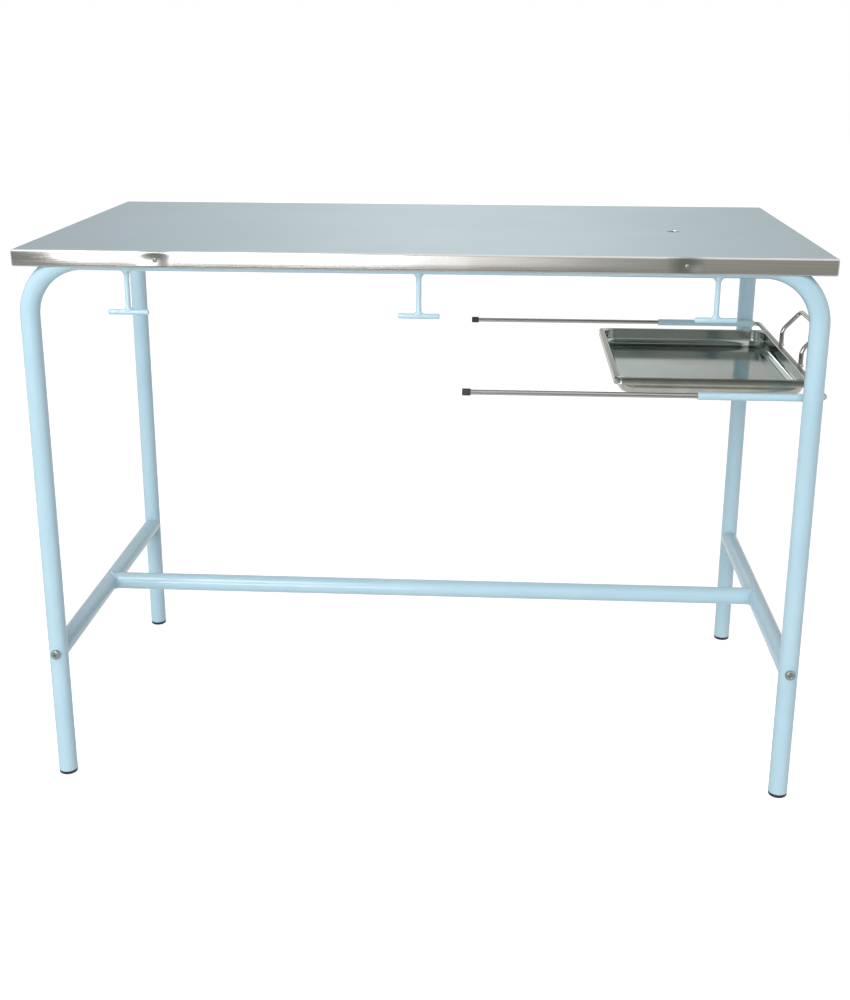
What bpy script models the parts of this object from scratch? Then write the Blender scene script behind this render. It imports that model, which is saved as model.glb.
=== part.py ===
# Examination table: a dished stainless top on a blue tube frame, with a tray that slides out at one end.
# Metres, +Z up, the floor at z = 0. The tray pulls out towards +X, and -Y is the front.
# Places are measured from the middle of the top. The empty table_frame then moves everything along X,
# so that the origin is under the middle of the whole outline, handle included.

import math

import bmesh
import bpy
from mathutils import Vector

# Whole table
table_length = 1.205
table_width = 0.650
table_height = 0.872

# Clearances and cuts
touching_gap = 0.0003
cut_overrun = 0.005
weld_distance = 0.00001

# Top sheet
top_thickness = 0.0015
top_rim_height = 0.025
top_bend_radius = 0.003
dish_depth = 0.005
drain_inset = 0.200
drain_hole_diameter = 0.022

# Drain spigot
spigot_flange_diameter = 0.045
spigot_flange_thickness = 0.002
spigot_outer_diameter = 0.024
spigot_bore_diameter = 0.020
spigot_length = 0.040
spigot_barb_height = 0.0012
spigot_barb_pitch = 0.008

# Top stiffeners
stiffener_thickness = 0.0015
stiffener_flange_width = 0.015
stiffener_channel_width = 0.030
stiffener_depth = 0.020
stiffener_end_clearance = 0.004
left_stiffener_inset = 0.348
right_stiffener_inset = 0.504

# Frame tube
tube_diameter = 0.030
tube_wall = 0.0015
leg_end_inset = 0.017
rail_side_clearance = 0.001
portal_bend_radius = 0.085
stretcher_height = 0.2195

# Tie hooks
hook_rod_diameter = 0.008
hook_bar_length = 0.062
hook_drop = 0.062
hook_inset = 0.1505
hook_top_weld_diameter = 0.015
hook_bar_weld_diameter = 0.0115
hook_weld_height = 0.007

# Foot plugs
plug_head_height = 0.0055
plug_edge_radius = 0.003
plug_stem_length = 0.020

# Stretcher bolts and their inserts
bolt_shank_diameter = 0.008
bolt_head_diameter = 0.0162
bolt_head_height = 0.0044
bolt_socket_diameter = 0.0058
bolt_socket_depth = 0.0026
bolt_grip_length = 0.015
insert_setback = 0.004
insert_length = 0.020

# Rim screws
rim_screw_shank_diameter = 0.0035
rim_screw_head_diameter = 0.007
rim_screw_head_height = 0.002
rim_screw_length = 0.014
rim_screw_drop = 0.0135
rim_screw_left_inset = 0.2155
rim_screw_right_inset = 0.2155

# Tray sleeves
slide_drop = 0.2135
sleeve_outer_diameter = 0.012
sleeve_bore_diameter = 0.009
sleeve_length = 0.1795
sleeve_end_reach = 0.013

# Tray rod and its caps
rod_diameter = 0.008
rod_corner_radius = 0.010
rod_arm_length = 0.542
slide_rest_gap = 0.0005
cap_diameter = 0.011
cap_length = 0.013
cap_end_wall = 0.002
cap_edge_radius = 0.001

# Tray
tray_length = 0.306
tray_width = 0.400
tray_depth = 0.028
tray_thickness = 0.001
tray_flange_width = 0.0085
tray_lip_height = 0.011
tray_wall_corner_radius = 0.025
tray_rim_corner_radius = 0.012
tray_floor_fillet = 0.008
tray_seat_inset = 0.0015

# Tray handle
handle_wire_diameter = 0.008
handle_span = 0.166
handle_foot_offset = 0.003
handle_rise = 0.029
handle_lean_run = 0.030
handle_lean_rise = 0.0325
handle_knee_radius = 0.020
handle_corner_radius = 0.009

# Facet counts
tube_resolution = 6
rod_resolution = 4
wire_resolution = 4
bend_steps = 6
small_bend_steps = 4
turned_steps = 20
cutter_steps = 32
hole_steps = 12
corner_steps = 4
edge_steps = 3

# Directions and signs
quarter_turn = math.pi / 2
full_turn = 2 * math.pi
facet_limit = math.radians(35)
along_x = (0, quarter_turn, 0)
along_minus_x = (0, -quarter_turn, 0)
along_y = (quarter_turn, 0, 0)
facing_rear = (-quarter_turn, 0, 0)
upright = (0, 0, 0)
sides = {"front": -1, "rear": 1}
ends = {"left": -1, "right": 1}

# Places that follow from the sizes above
tube_radius = tube_diameter / 2
tube_bore_radius = tube_radius - tube_wall
coped_radius = tube_radius + touching_gap
leg_x = table_length / 2 - leg_end_inset
leg_y = table_width / 2 - top_thickness - rail_side_clearance - tube_radius
drain_x = table_length / 2 - drain_inset
rail_inset = table_width / 2 - leg_y
dish_at_rail = dish_depth * rail_inset / (table_width / 2)
rail_z = table_height - top_thickness - dish_at_rail - touching_gap - tube_radius
leg_foot_z = plug_head_height + touching_gap
hook_x = leg_x - hook_inset
rod_radius = rod_diameter / 2
sleeve_radius = sleeve_outer_diameter / 2
slide_z = table_height - slide_drop
slide_y = leg_y - tube_radius - touching_gap - sleeve_radius
sleeve_end_x = leg_x + sleeve_end_reach
cross_rod_x = sleeve_end_x + slide_rest_gap + rod_corner_radius
rod_tip_x = cross_rod_x - rod_arm_length
handle_foot_x = cross_rod_x + handle_foot_offset
handle_bar_x = handle_foot_x + handle_lean_run
outline_right = handle_bar_x + handle_wire_diameter / 2
outline_left = -max(table_length / 2, leg_x + tube_radius)
origin_shift = -(outline_right + outline_left) / 2


# Objects, materials and modifiers


def clear_scene():
    for obj in list(bpy.data.objects):
        bpy.data.objects.remove(obj)


def new_collection(name):
    collection = bpy.data.collections.new(name)
    bpy.context.scene.collection.children.link(collection)
    return collection


def new_material(name, colour, metallic, roughness):
    material = bpy.data.materials.new(name)
    material.use_nodes = True
    shader = material.node_tree.nodes["Principled BSDF"]
    shader.inputs["Base Color"].default_value = (*colour, 1)
    shader.inputs["Metallic"].default_value = metallic
    shader.inputs["Roughness"].default_value = roughness
    return material


def new_empty(name, location, parent):
    empty = bpy.data.objects.new(name, None)
    empty.empty_display_size = tube_diameter
    parts.objects.link(empty)
    empty.location = location
    empty.parent = parent
    return empty


def add_part(name, data, material, parent, location=(0, 0, 0), rotation=upright):
    obj = bpy.data.objects.new(name, data)
    parts.objects.link(obj)
    obj.parent = parent
    obj.location = location
    obj.rotation_euler = rotation
    if not data.materials:
        data.materials.append(material)
    return obj


def add_cutter(name, mesh, location=(0, 0, 0), rotation=upright):
    obj = bpy.data.objects.new(name, mesh)
    cutters.objects.link(obj)
    obj.parent = table_frame
    obj.location = location
    obj.rotation_euler = rotation
    obj.hide_render = True
    obj.display_type = "WIRE"
    return obj


def boolean(obj, other, operation="DIFFERENCE"):
    modifier = obj.modifiers.new(f"{operation.lower()} {other.name}", "BOOLEAN")
    modifier.operation = operation
    modifier.object = other
    modifier.solver = "EXACT"


def smooth(mesh):
    mesh.shade_smooth()
    mesh.set_sharp_from_angle(angle=facet_limit)
    return mesh


def evaluated_mesh(obj):
    # The object's shape with its modifiers, as a mesh of its own.
    bpy.context.view_layer.update()
    graph = bpy.context.evaluated_depsgraph_get()
    mesh = bpy.data.meshes.new_from_object(obj.evaluated_get(graph), depsgraph=graph)
    mesh.name = obj.name
    bm = bmesh.new()
    bm.from_mesh(mesh)
    bmesh.ops.remove_doubles(bm, verts=bm.verts, dist=weld_distance)
    bm.to_mesh(mesh)
    bm.free()
    return smooth(mesh)


def shaped_mesh(name, mesh, cuts=(), joins=()):
    # This mesh with others cut from it and joined to it. Each is a mesh, its place and its rotation.
    helpers = []
    for other, place, rotation in ((mesh, (0, 0, 0), upright), *joins, *cuts):
        helper = bpy.data.objects.new(name, other)
        bpy.context.scene.collection.objects.link(helper)
        helper.location = place
        helper.rotation_euler = rotation
        helpers.append(helper)
    for index, helper in enumerate(helpers[1:]):
        boolean(helpers[0], helper, "UNION" if index < len(joins) else "DIFFERENCE")
    shaped = evaluated_mesh(helpers[0])
    for helper in helpers:
        bpy.data.objects.remove(helper)
    return shaped


# Shapes


def cylinder_mesh(name, radius, length, segments):
    bm = bmesh.new()
    bmesh.ops.create_cone(
        bm, cap_ends=True, segments=segments, radius1=radius, radius2=radius, depth=length
    )
    mesh = bpy.data.meshes.new(name)
    bm.to_mesh(mesh)
    bm.free()
    return smooth(mesh)


def turned_mesh(name, profile, is_ring=False, steps=turned_steps):
    # A profile of (radius, height) points turned about Z. It runs down its outer side.
    bm = bmesh.new()
    points = [bm.verts.new((radius, 0, height)) for radius, height in profile]
    for first, second in zip(points, points[1:]):
        bm.edges.new((first, second))
    if is_ring:
        bm.edges.new((points[-1], points[0]))
    mesh = bpy.data.meshes.new(name)
    bm.to_mesh(mesh)
    bm.free()
    guide = bpy.data.objects.new(name, mesh)
    bpy.context.scene.collection.objects.link(guide)
    screw = guide.modifiers.new("turn", "SCREW")
    screw.axis = "Z"
    screw.angle = full_turn
    screw.steps = steps
    screw.render_steps = steps
    screw.use_merge_vertices = True
    screw.merge_threshold = weld_distance
    turned = evaluated_mesh(guide)
    bpy.data.objects.remove(guide)
    return turned


def pipe_mesh(name, outer_radius, bore_radius, length, steps=turned_steps):
    profile = (
        (outer_radius, length / 2),
        (outer_radius, -length / 2),
        (bore_radius, -length / 2),
        (bore_radius, length / 2),
    )
    return turned_mesh(name, profile, is_ring=True, steps=steps)


def tube_curve(name, points, radius, resolution):
    curve = bpy.data.curves.new(name, "CURVE")
    curve.dimensions = "3D"
    curve.bevel_depth = radius
    curve.bevel_resolution = resolution
    curve.use_fill_caps = True
    spline = curve.splines.new("POLY")
    spline.points.add(len(points) - 1)
    for spot, point in zip(spline.points, points):
        spot.co = (*point, 1)
    return curve


def tube_mesh(name, points, radius, resolution):
    # A solid tube along these points, as a mesh that can be cut.
    guide = bpy.data.objects.new(name, tube_curve(name, points, radius, resolution))
    bpy.context.scene.collection.objects.link(guide)
    mesh = evaluated_mesh(guide)
    bpy.data.objects.remove(guide)
    return mesh


def rounded_path(corners, radii, steps):
    # Straight runs between these corners, each inner corner rounded to its own radius.
    points = [Vector(corners[0])]
    for before, corner, after, radius in zip(corners, corners[1:], corners[2:], radii):
        corner = Vector(corner)
        back = (Vector(before) - corner).normalized()
        onward = (Vector(after) - corner).normalized()
        half_angle = back.angle(onward) / 2
        centre = corner + (back + onward).normalized() * radius / math.sin(half_angle)
        reach = radius / math.tan(half_angle)
        first = corner + back * reach - centre
        last = corner + onward * reach - centre
        sweep = first.angle(last)
        for step in range(steps + 1):
            turned = step / steps * sweep
            arm = first * math.sin(sweep - turned) + last * math.sin(turned)
            points.append(centre + arm / math.sin(sweep))
    points.append(Vector(corners[-1]))
    return points


def rounded_rectangle(half_x, half_y, radius, steps):
    # The points of a rectangle with round corners, anticlockwise from the +X side.
    points = []
    for turn, (sign_x, sign_y) in enumerate(((1, 1), (-1, 1), (-1, -1), (1, -1))):
        for step in range(steps + 1):
            angle = (turn + step / steps) * quarter_turn
            x = sign_x * (half_x - radius) + radius * math.cos(angle)
            y = sign_y * (half_y - radius) + radius * math.sin(angle)
            points.append((x, y))
    return points


def dome_profile(radius, height, length, shank_radius):
    # Half of a domed head above z = 0 on a shank that ends at -length.
    profile = [(0, height)]
    for step in range(1, corner_steps + 1):
        angle = step / corner_steps * quarter_turn
        profile.append((radius * math.sin(angle), height * math.cos(angle)))
    profile += [(shank_radius, 0), (shank_radius, -length), (0, -length)]
    return profile


def dish_drop(x):
    # How far the left facet of the dish lies below the rim at this place along the table.
    return dish_depth * (x + table_length / 2) / (drain_x + table_length / 2)


# Top


def make_top_sheet():
    bm = bmesh.new()
    bmesh.ops.create_grid(bm, x_segments=1, y_segments=1, size=0.5)
    bmesh.ops.scale(bm, vec=(table_length, table_width, 1), verts=bm.verts)
    low_point = bmesh.ops.poke(bm, faces=bm.faces)["verts"][0]
    low_point.co = (drain_x, 0, -dish_depth)
    edges = [edge for edge in bm.edges if edge.is_boundary]
    folded = bmesh.ops.extrude_edge_only(bm, edges=edges)["geom"]
    hem = [item for item in folded if isinstance(item, bmesh.types.BMVert)]
    bmesh.ops.translate(bm, verts=hem, vec=(0, 0, -top_rim_height))
    bmesh.ops.recalc_face_normals(bm, faces=bm.faces)
    if sum(face.normal.z * face.calc_area() for face in bm.faces) < 0:
        bmesh.ops.reverse_faces(bm, faces=bm.faces)
    mesh = bpy.data.meshes.new("top_sheet")
    bm.to_mesh(mesh)
    bm.free()
    sheet = add_part("top_sheet", mesh, satin_steel, table_frame, (0, 0, table_height))
    bevel = sheet.modifiers.new("bends", "BEVEL")
    bevel.width = top_bend_radius
    bevel.segments = edge_steps
    bevel.limit_method = "ANGLE"
    shell = sheet.modifiers.new("thickness", "SOLIDIFY")
    shell.thickness = top_thickness
    shell.offset = -1
    shell.use_even_offset = True
    drain_hole = cylinder_mesh("drain_hole", drain_hole_diameter / 2, dish_depth * 2 + cut_overrun, hole_steps)
    boolean(sheet, add_cutter("drain_hole", drain_hole, (drain_x, 0, table_height - dish_depth)))
    return sheet


def make_drain_spigot():
    outer = spigot_outer_diameter / 2
    bore = spigot_bore_diameter / 2
    barb = outer + spigot_barb_height
    profile = [
        (bore, 0),
        (spigot_flange_diameter / 2, 0),
        (spigot_flange_diameter / 2, -spigot_flange_thickness),
        (outer, -spigot_flange_thickness),
    ]
    barb_count = int((spigot_length - spigot_flange_thickness) / spigot_barb_pitch) - 1
    for index in range(barb_count, 0, -1):
        top = -spigot_length + index * spigot_barb_pitch
        profile += [(outer, top), (barb, top), (outer, top - spigot_barb_pitch)]
    profile += [(bore, -spigot_length)]
    mesh = turned_mesh("drain_spigot", profile, is_ring=True)
    top_z = table_height - dish_depth - top_thickness - touching_gap
    add_part("drain_spigot", mesh, bright_steel, table_frame, (drain_x, 0, top_z))


def make_stiffener(name, x):
    # A folded omega section, its two flanges against the sheet and its channel hanging below.
    half_channel = stiffener_channel_width / 2
    half_width = half_channel + stiffener_flange_width
    outline = (
        (-half_width, 0),
        (-half_channel, 0),
        (-half_channel, -stiffener_depth),
        (half_channel, -stiffener_depth),
        (half_channel, 0),
        (half_width, 0),
    )
    length = 2 * (leg_y - tube_radius - stiffener_end_clearance)
    bm = bmesh.new()
    line = [bm.verts.new((x, -length / 2, z)) for x, z in outline]
    edges = [bm.edges.new(pair) for pair in zip(line, line[1:])]
    swept = bmesh.ops.extrude_edge_only(bm, edges=edges)["geom"]
    far_side = [item for item in swept if isinstance(item, bmesh.types.BMVert)]
    bmesh.ops.translate(bm, verts=far_side, vec=(0, length, 0))
    bmesh.ops.recalc_face_normals(bm, faces=bm.faces)
    if sum(face.normal.z for face in bm.faces) < 0:
        bmesh.ops.reverse_faces(bm, faces=bm.faces)
    mesh = bpy.data.meshes.new(name)
    bm.to_mesh(mesh)
    bm.free()
    z = table_height - top_thickness - dish_drop(x + half_width) - touching_gap
    piece = add_part(name, mesh, bright_steel, table_frame, (x, 0, z))
    shell = piece.modifiers.new("thickness", "SOLIDIFY")
    shell.thickness = stiffener_thickness
    shell.offset = -1
    shell.use_even_offset = True


def make_rim_screws(sheet):
    head_radius = rim_screw_head_diameter / 2
    shank_radius = rim_screw_shank_diameter / 2
    profile = dome_profile(head_radius, rim_screw_head_height, rim_screw_length, shank_radius)
    mesh = turned_mesh("rim_screw", profile, steps=hole_steps)
    hole_length = 2 * (rail_inset + cut_overrun)
    hole = cylinder_mesh("rim_screw_hole", shank_radius + touching_gap, hole_length, hole_steps)
    places = {
        "left": rim_screw_left_inset - table_length / 2,
        "right": table_length / 2 - rim_screw_right_inset,
    }
    for side, sign in sides.items():
        for end, x in places.items():
            place = (x, sign * (table_width / 2 + touching_gap), table_height - rim_screw_drop)
            rotation = along_y if side == "front" else facing_rear
            add_part(f"{side}_{end}_rim_screw", mesh, bright_steel, table_frame, place, rotation)
            cutter = add_cutter(f"{side}_{end}_rim_screw_hole", hole, place, along_y)
            boolean(sheet, cutter)
            boolean(bpy.data.objects[f"{side}_portal"], cutter)


# Frame


def portal_path(y, foot_z):
    corners = ((-leg_x, y, foot_z), (-leg_x, y, rail_z), (leg_x, y, rail_z), (leg_x, y, foot_z))
    return rounded_path(corners, (portal_bend_radius, portal_bend_radius), bend_steps)


def make_portals():
    bolt_hole_radius = bolt_shank_diameter / 2 + touching_gap
    hole = cylinder_mesh("bolt_hole", bolt_hole_radius, tube_diameter + 2 * cut_overrun, hole_steps)
    for side, sign in sides.items():
        y = sign * leg_y
        name = f"{side}_portal"
        mesh = tube_mesh(name, portal_path(y, leg_foot_z), tube_radius, tube_resolution)
        portal = add_part(name, mesh, blue_enamel, table_frame)
        bore_path = portal_path(y, leg_foot_z - cut_overrun)
        bore = tube_mesh(f"{name}_bore", bore_path, tube_bore_radius, tube_resolution)
        boolean(portal, add_cutter(f"{name}_bore", bore))
        for end, end_sign in ends.items():
            place = (end_sign * leg_x, y, stretcher_height)
            boolean(portal, add_cutter(f"{side}_{end}_bolt_hole", hole, place, along_y))


def make_stretchers():
    leg_cope = cylinder_mesh("leg_cope", coped_radius, tube_diameter * 2, cutter_steps)
    pipe = pipe_mesh("side_stretcher", tube_radius, tube_bore_radius, 2 * leg_y)
    for end, sign in ends.items():
        x = sign * leg_x
        place = (x, 0, stretcher_height)
        stretcher = add_part(f"{end}_side_stretcher", pipe, blue_enamel, table_frame, place, along_y)
        for side, side_sign in sides.items():
            cope_place = (x, side_sign * leg_y, stretcher_height)
            boolean(stretcher, add_cutter(f"{side}_{end}_leg_cope", leg_cope, cope_place))
    pipe = pipe_mesh("middle_stretcher", tube_radius, tube_bore_radius, 2 * leg_x)
    place = (0, 0, stretcher_height)
    middle = add_part("middle_stretcher", pipe, blue_enamel, table_frame, place, along_x)
    for end, sign in ends.items():
        cope_place = (sign * leg_x, 0, stretcher_height)
        boolean(middle, add_cutter(f"{end}_stretcher_cope", leg_cope, cope_place, along_y))


def make_stretcher_fixings():
    insert_start = leg_y - tube_radius - insert_setback
    shank_length = leg_y + tube_radius + touching_gap - insert_start + bolt_grip_length
    profile = dome_profile(
        bolt_head_diameter / 2, bolt_head_height, shank_length, bolt_shank_diameter / 2
    )
    socket_length = bolt_socket_depth + cut_overrun
    socket = cylinder_mesh("bolt_socket", bolt_socket_diameter / 2, socket_length, 6)
    socket_z = bolt_head_height - bolt_socket_depth + socket_length / 2
    bolt = shaped_mesh(
        "stretcher_bolt",
        turned_mesh("stretcher_bolt", profile),
        cuts=((socket, (0, 0, socket_z), upright),),
    )
    insert_radius = tube_bore_radius - touching_gap
    insert_bore = bolt_shank_diameter / 2 + touching_gap
    insert = pipe_mesh("stretcher_insert", insert_radius, insert_bore, insert_length)
    for side, sign in sides.items():
        for end, end_sign in ends.items():
            x = end_sign * leg_x
            place = (x, sign * (leg_y + tube_radius + touching_gap), stretcher_height)
            rotation = along_y if side == "front" else facing_rear
            add_part(f"{side}_{end}_stretcher_bolt", bolt, bright_steel, table_frame, place, rotation)
            place = (x, sign * (insert_start - insert_length / 2), stretcher_height)
            add_part(f"{side}_{end}_stretcher_insert", insert, bright_steel, table_frame, place, along_y)


def make_foot_plugs():
    stem_radius = tube_bore_radius - touching_gap
    profile = [
        (0, plug_head_height + plug_stem_length),
        (stem_radius, plug_head_height + plug_stem_length),
        (stem_radius, plug_head_height),
        (tube_radius, plug_head_height),
    ]
    for step in range(edge_steps + 1):
        angle = step / edge_steps * quarter_turn
        radius = tube_radius - plug_edge_radius * (1 - math.cos(angle))
        profile.append((radius, plug_edge_radius * (1 - math.sin(angle))))
    profile.append((0, 0))
    mesh = turned_mesh("foot_plug", profile)
    for side, sign in sides.items():
        for end, end_sign in ends.items():
            place = (end_sign * leg_x, sign * leg_y, 0)
            add_part(f"{side}_{end}_foot_plug", mesh, black_plastic, table_frame, place)


def make_hooks():
    # A stem welded under the rail with a bar across its foot. Heights are from the rail's underside.
    hook_rod_radius = hook_rod_diameter / 2
    weld_radius = hook_top_weld_diameter / 2
    profile = (
        (0, tube_radius),
        (weld_radius, tube_radius),
        (weld_radius, 0),
        (hook_rod_radius, -hook_weld_height),
        (hook_rod_radius, hook_weld_height - hook_drop),
        (hook_bar_weld_diameter / 2, -hook_drop),
        (0, -hook_drop),
    )
    stem = turned_mesh("tie_hook", profile, steps=hole_steps)
    bar = cylinder_mesh("hook_bar", hook_rod_radius, hook_bar_length, hole_steps)
    cope = cylinder_mesh("rail_cope", coped_radius, hook_top_weld_diameter + cut_overrun, cutter_steps)
    hook = shaped_mesh(
        "tie_hook",
        stem,
        joins=((bar, (0, 0, -hook_drop), along_x),),
        cuts=((cope, (0, 0, tube_radius), along_x),),
    )
    for side, sign in sides.items():
        for place_name, x in (("left", -hook_x), ("centre", 0), ("right", hook_x)):
            place = (x, sign * leg_y, rail_z - tube_radius)
            add_part(f"{side}_{place_name}_hook", hook, blue_enamel, table_frame, place)


def make_sleeves():
    mesh = pipe_mesh("tray_sleeve", sleeve_radius, sleeve_bore_diameter / 2, sleeve_length)
    for side, sign in sides.items():
        place = (sleeve_end_x - sleeve_length / 2, sign * slide_y, slide_z)
        add_part(f"{side}_tray_sleeve", mesh, blue_enamel, table_frame, place, along_x)


# Sliding tray, measured from the slide axis


def make_rod():
    corners = (
        (rod_tip_x, -slide_y, 0),
        (cross_rod_x, -slide_y, 0),
        (cross_rod_x, slide_y, 0),
        (rod_tip_x, slide_y, 0),
    )
    path = rounded_path(corners, (rod_corner_radius, rod_corner_radius), small_bend_steps)
    add_part("tray_rod", tube_curve("tray_rod", path, rod_radius, rod_resolution), chrome, slide_axis)


def make_rod_caps():
    # A cap's closed end points away from the rod, and its blind bore takes the rod's tip.
    radius = cap_diameter / 2
    bore = rod_radius + touching_gap
    profile = [(0, cap_end_wall)]
    for step in range(edge_steps + 1):
        angle = step / edge_steps * quarter_turn
        outer = radius - cap_edge_radius * (1 - math.sin(angle))
        profile.append((outer, cap_end_wall - cap_edge_radius * (1 - math.cos(angle))))
    mouth = cap_end_wall - cap_length
    profile += [(radius, mouth), (bore, mouth), (bore, 0), (0, 0)]
    mesh = turned_mesh("rod_cap", profile)
    for side, sign in sides.items():
        place = (rod_tip_x - touching_gap, sign * slide_y, 0)
        add_part(f"{side}_rod_cap", mesh, black_rubber, slide_axis, place, along_minus_x)


def make_tray():
    # An open pressing, drawn ring by ring from the floor out to the flange, then given its thickness.
    half_x = tray_length / 2 - tray_flange_width
    half_y = tray_width / 2 - tray_flange_width
    rings = []
    for step in range(edge_steps + 1):
        angle = step / edge_steps * quarter_turn
        inset = tray_floor_fillet * (1 - math.sin(angle))
        height = tray_floor_fillet * (1 - math.cos(angle)) - tray_depth
        rings.append((-inset, tray_wall_corner_radius - inset, height))
    rings.append((0, tray_wall_corner_radius, 0))
    rings.append((tray_flange_width, tray_rim_corner_radius, 0))
    bm = bmesh.new()
    loops = []
    for outset, radius, height in rings:
        outline = rounded_rectangle(half_x + outset, half_y + outset, radius, corner_steps)
        loops.append([bm.verts.new((x, y, height)) for x, y in outline])
    bm.faces.new(loops[0])
    for inner, outer in zip(loops, loops[1:]):
        for index in range(len(inner)):
            after = (index + 1) % len(inner)
            bm.faces.new((inner[index], outer[index], outer[after], inner[after]))
    # The lip is folded down on three sides. The fourth side lies on the rod.
    lip_limit = tray_length / 2 - tray_rim_corner_radius + weld_distance
    edges = [
        edge
        for edge in bm.edges
        if edge.is_boundary and all(vert.co.x < lip_limit for vert in edge.verts)
    ]
    folded = bmesh.ops.extrude_edge_only(bm, edges=edges)["geom"]
    lip = [item for item in folded if isinstance(item, bmesh.types.BMVert)]
    bmesh.ops.translate(bm, verts=lip, vec=(0, 0, -tray_lip_height))
    bmesh.ops.recalc_face_normals(bm, faces=bm.faces)
    if sum(face.normal.z * face.calc_area() for face in bm.faces) < 0:
        bmesh.ops.reverse_faces(bm, faces=bm.faces)
    mesh = bpy.data.meshes.new("tray")
    bm.to_mesh(mesh)
    bm.free()
    x = cross_rod_x - tray_seat_inset - tray_length / 2
    rim_z = rod_radius + touching_gap + tray_thickness
    tray = add_part("tray", smooth(mesh), polished_steel, slide_axis, (x, 0, rim_z))
    shell = tray.modifiers.new("thickness", "SOLIDIFY")
    shell.thickness = tray_thickness
    shell.offset = -1
    shell.use_even_offset = True


def make_handle():
    foot_y = handle_span / 2
    knee_z = handle_rise
    bar_z = handle_rise + handle_lean_rise
    corners = (
        (handle_foot_x, -foot_y, 0),
        (handle_foot_x, -foot_y, knee_z),
        (handle_bar_x, -foot_y, bar_z),
        (handle_bar_x, foot_y, bar_z),
        (handle_foot_x, foot_y, knee_z),
        (handle_foot_x, foot_y, 0),
    )
    radii = (handle_knee_radius, handle_corner_radius, handle_corner_radius, handle_knee_radius)
    path = rounded_path(corners, radii, small_bend_steps)
    wire = tube_mesh("tray_handle", path, handle_wire_diameter / 2, wire_resolution)
    cope = cylinder_mesh("rod_cope", rod_radius + touching_gap, handle_span * 2, cutter_steps)
    handle = shaped_mesh("tray_handle", wire, cuts=((cope, (cross_rod_x, 0, 0), along_y),))
    add_part("tray_handle", handle, chrome, slide_axis)


clear_scene()
parts = new_collection("examination_table")
cutters = new_collection("cutters")
satin_steel = new_material("satin stainless steel", (0.46, 0.55, 0.58), 0.9, 0.35)
polished_steel = new_material("polished stainless steel", (0.42, 0.43, 0.40), 1.0, 0.15)
bright_steel = new_material("zinc plated steel", (0.50, 0.55, 0.53), 1.0, 0.30)
chrome = new_material("chrome plate", (0.75, 0.76, 0.76), 1.0, 0.08)
blue_enamel = new_material("pale blue enamel", (0.52, 0.72, 0.80), 0.0, 0.35)
black_plastic = new_material("black plastic", (0.03, 0.03, 0.04), 0.0, 0.5)
black_rubber = new_material("dark rubber", (0.08, 0.08, 0.08), 0.0, 0.7)
table_frame = new_empty("table_frame", (origin_shift, 0, 0), None)
slide_axis = new_empty("tray_slide_axis", (0, 0, slide_z), table_frame)

top_sheet = make_top_sheet()
make_drain_spigot()
make_stiffener("left_top_stiffener", left_stiffener_inset - table_length / 2)
make_stiffener("right_top_stiffener", table_length / 2 - right_stiffener_inset)
make_portals()
make_rim_screws(top_sheet)
make_stretchers()
make_stretcher_fixings()
make_foot_plugs()
make_hooks()
make_sleeves()
make_rod()
make_rod_caps()
make_tray()
make_handle()
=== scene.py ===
import math
from functools import partial

import bmesh
import bpy
from mathutils import Matrix, Vector


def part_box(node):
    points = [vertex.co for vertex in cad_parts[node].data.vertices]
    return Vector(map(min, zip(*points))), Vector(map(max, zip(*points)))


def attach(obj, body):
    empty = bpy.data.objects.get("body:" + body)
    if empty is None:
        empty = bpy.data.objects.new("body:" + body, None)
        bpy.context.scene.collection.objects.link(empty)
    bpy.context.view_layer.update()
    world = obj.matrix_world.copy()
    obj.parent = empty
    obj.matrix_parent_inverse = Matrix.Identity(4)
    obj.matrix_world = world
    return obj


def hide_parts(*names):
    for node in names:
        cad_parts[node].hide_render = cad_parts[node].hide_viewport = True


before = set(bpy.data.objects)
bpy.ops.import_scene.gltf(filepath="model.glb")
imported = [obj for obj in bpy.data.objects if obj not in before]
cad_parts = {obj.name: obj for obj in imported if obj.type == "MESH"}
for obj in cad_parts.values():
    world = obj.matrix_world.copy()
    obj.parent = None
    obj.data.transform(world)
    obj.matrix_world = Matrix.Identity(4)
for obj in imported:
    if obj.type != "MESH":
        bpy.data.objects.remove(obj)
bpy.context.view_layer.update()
print("frame loaded:", len(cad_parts), "solids")

quarterTurn = math.pi / 2
sideSigns = {"front": -1, "rear": 1}
endSigns = {"left": -1, "right": 1}
facing = {"front": (quarterTurn, 0, 0), "rear": (-quarterTurn, 0, 0)}

# the table's middle lies left of the origin, because the handle sticks out at the right
sheetLow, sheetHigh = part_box("top_sheet")
middleX = (sheetLow.x + sheetHigh.x) / 2
topZ = sheetHigh.z

tableFrame = {
    "tubeRadius": 0.015,
    "bendRadius": 0.085,     # centreline of the two upper bends
    "stretcherZ": 0.2195,
    "touchGap": 0.0003,      # between pieces that touch on the real table
    "sawnEdge": 0.0006,      # the sawn ends are deburred
    "endShort": 0.001,       # a stretcher ends inside the next tube, this far from its axis
}
portalLow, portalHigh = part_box("front_portal")
tubeRadius = tableFrame["tubeRadius"]
legX = (portalHigh.x - portalLow.x) / 2 - tubeRadius
legY = -(portalLow.y + portalHigh.y) / 2
railZ = portalHigh.z - tubeRadius
footZ = portalLow.z
sleeveLow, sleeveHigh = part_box("rear_tray_sleeve")
slideY = (sleeveLow.y + sleeveHigh.y) / 2
slideZ = (sleeveLow.z + sleeveHigh.z) / 2


# nodes and colours

def toLinear(hexText):
    channels = [int(hexText[place:place + 2], 16) / 255 for place in (1, 3, 5)]
    linear = [c / 12.92 if c <= 0.04045 else ((c + 0.055) / 1.055) ** 2.4 for c in channels]
    return (*linear, 1.0)


def tones(low, high, lowAt=0.35, highAt=0.65):
    # the two stops of a ramp that goes from one colour to another
    return (lowAt, toLinear(low)), (highAt, toLinear(high))


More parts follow.
